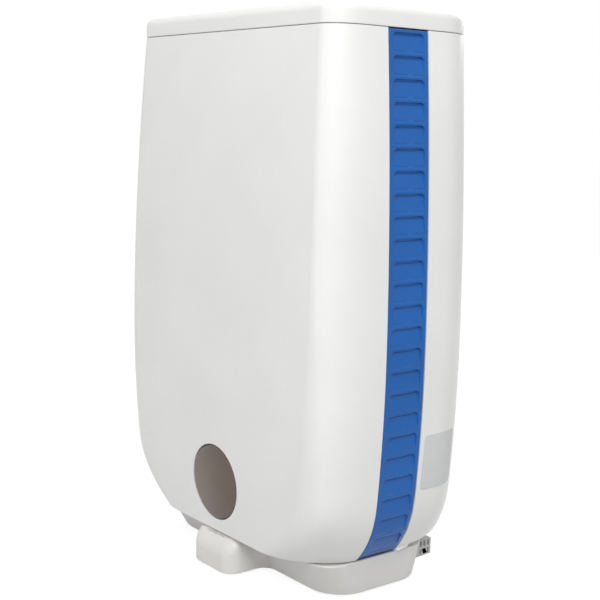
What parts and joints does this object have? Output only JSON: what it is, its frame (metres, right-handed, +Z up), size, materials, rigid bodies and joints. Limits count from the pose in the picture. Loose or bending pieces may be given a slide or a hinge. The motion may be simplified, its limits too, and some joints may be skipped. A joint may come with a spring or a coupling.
{
  "type": "desiccant dehumidifier",
  "caption": "Floor-standing desiccant dehumidifier: white moulded case with louvred blue side strips, a round smoked tank window, a hinged outlet flap and a pull-out water tank.",
  "frame": {"origin": "middle of the footprint, on the floor", "axes": "+Z up, front of the casing towards -Y, right-hand side of the casing towards +X"},
  "size_m": [0.308, 0.178, 0.48],
  "materials": {
    "white_abs": "moulded, satin gloss",
    "base_abs": "moulded, fine texture",
    "blue_abs": "moulded, satin",
    "smoked_window": "smoked, polished",
    "grey_abs": "moulded, satin",
    "button_abs": "moulded, satin gloss",
    "chassis_plastic": "moulded",
    "tank_plastic": "moulded, slightly translucent",
    "black_plastic": "moulded",
    "black_rubber": "matte",
    "boot_rubber": "moulded, matte",
    "float_foam": "expanded foam",
    "filter_cloth": "fine net",
    "zeolite": "fine honeycomb, matte",
    "zinc_steel": "zinc plated",
    "pale_aluminium": "mill finish",
    "circuit_board": "solder mask",
    "green_lens": "clear",
    "grey_film": "bare film"
  },
  "bodies": {
    "casing": {"front_shell": "white_abs", "tank_window": "smoked_window", "rear_shell": "white_abs", "blank_plate": "grey_film", "base": "base_abs", "rubber_pads": "black_rubber", "cord_gland": "boot_rubber", "chassis": "chassis_plastic", "case_screws": "zinc_steel", "drip_tray": "grey_abs", "tank_switch": "black_plastic", "rotor_axle": "zinc_steel", "drive_motor": "zinc_steel", "heater_box": "zinc_steel", "heater_rods": "zinc_steel", "return_duct": "black_plastic", "condenser": "pale_aluminium", "blower_case": "grey_abs", "blower_motor": "black_plastic", "fan_casing": "grey_abs", "fan_motor": "zinc_steel", "power_board": "circuit_board", "top_cover": "white_abs", "outlet_frame": "grey_abs", "flap_motor": "black_plastic", "control_tray": "blue_abs", "indicator_lenses": "green_lens", "control_board": "circuit_board", "carry_cup": "white_abs", "drain_spigot": "grey_abs"},
    "flap": {"outlet_flap": "white_abs"},
    "rotor": {"rotor_rim": "black_plastic", "desiccant_core": "zeolite"},
    "pinion": {"drive_pinion": "black_plastic"},
    "process_wheel": {"fan_wheel": "black_plastic"},
    "regeneration_wheel": {"blower_wheel": "black_plastic"},
    "tank": {"water_tank": "tank_plastic", "tank_lid": "grey_abs"},
    "float": {"tank_float": "float_foam"},
    "side_cover_right": {"side_strip_right": "blue_abs", "filter_frame_right": "grey_abs", "filter_mesh_right": "filter_cloth"},
    "side_cover_left": {"side_strip_left": "blue_abs", "filter_frame_left": "grey_abs", "filter_mesh_left": "filter_cloth"},
    "power_button": {"button_power": "button_abs"},
    "fan_button": {"button_fan": "button_abs"},
    "swing_button": {"button_swing": "button_abs"},
    "timer_button": {"button_timer": "button_abs"},
    "dial": {"humidity_dial": "white_abs"},
    "spigot_cap": {"drain_cap": "white_abs"}
  },
  "joints": [
    {"name": "flap_hinge", "type": "hinge", "parent": "casing", "child": "flap", "pos_m": [0, 0.053, 0.477], "axis": [-1, 0, 0], "range_deg": [0, 80]},
    {"name": "rotor_spin", "type": "hinge", "parent": "casing", "child": "rotor", "pos_m": [0, -0.02, 0.3], "axis": [0, 1, 0], "continuous": true},
    {"name": "pinion_spin", "type": "hinge", "parent": "casing", "child": "pinion", "pos_m": [-0.07142, -0.0245, 0.22858], "axis": [0, 1, 0], "continuous": true},
    {"name": "process_wheel_spin", "type": "hinge", "parent": "casing", "child": "process_wheel", "pos_m": [0, 0.03, 0.3], "axis": [0, 1, 0], "continuous": true},
    {"name": "regeneration_wheel_spin", "type": "hinge", "parent": "casing", "child": "regeneration_wheel", "pos_m": [0.042, -0.026, 0.424], "axis": [0, 1, 0], "continuous": true},
    {"name": "tank_slide", "type": "slide", "parent": "casing", "child": "tank", "axis": [0, 1, 0], "range_m": [0, 0.14]},
    {"name": "float_pivot", "type": "hinge", "parent": "tank", "child": "float", "pos_m": [-0.06, -0.057, 0.116], "axis": [1, 0, 0], "range_deg": [0, 35]},
    {"name": "side_cover_right_slide", "type": "slide", "parent": "casing", "child": "side_cover_right", "axis": [1, 0, 0], "range_m": [0, 0.025]},
    {"name": "side_cover_left_slide", "type": "slide", "parent": "casing", "child": "side_cover_left", "axis": [-1, 0, 0], "range_m": [0, 0.025]},
    {"name": "power_push", "type": "slide", "parent": "casing", "child": "power_button", "axis": [0, 0, -1], "range_m": [0, 0.0009], "stiffness_N_per_m": 500},
    {"name": "fan_push", "type": "slide", "parent": "casing", "child": "fan_button", "axis": [0, 0, -1], "range_m": [0, 0.0009], "stiffness_N_per_m": 500},
    {"name": "swing_push", "type": "slide", "parent": "casing", "child": "swing_button", "axis": [0, 0, -1], "range_m": [0, 0.0009], "stiffness_N_per_m": 500},
    {"name": "timer_push", "type": "slide", "parent": "casing", "child": "timer_button", "axis": [0, 0, -1], "range_m": [0, 0.0009], "stiffness_N_per_m": 500},
    {"name": "dial_turn", "type": "hinge", "parent": "casing", "child": "dial", "pos_m": [0.062, -0.044, 0.4755], "axis": [0, 0, -1], "range_deg": [0, 270]},
    {"name": "cap_slide", "type": "slide", "parent": "casing", "child": "spigot_cap", "axis": [0, 1, 0], "range_m": [0, 0.01]}
  ],
  "couplings": [
    {"joint": "pinion_spin", "follows": "rotor_spin", "ratio": -9}
  ]
}
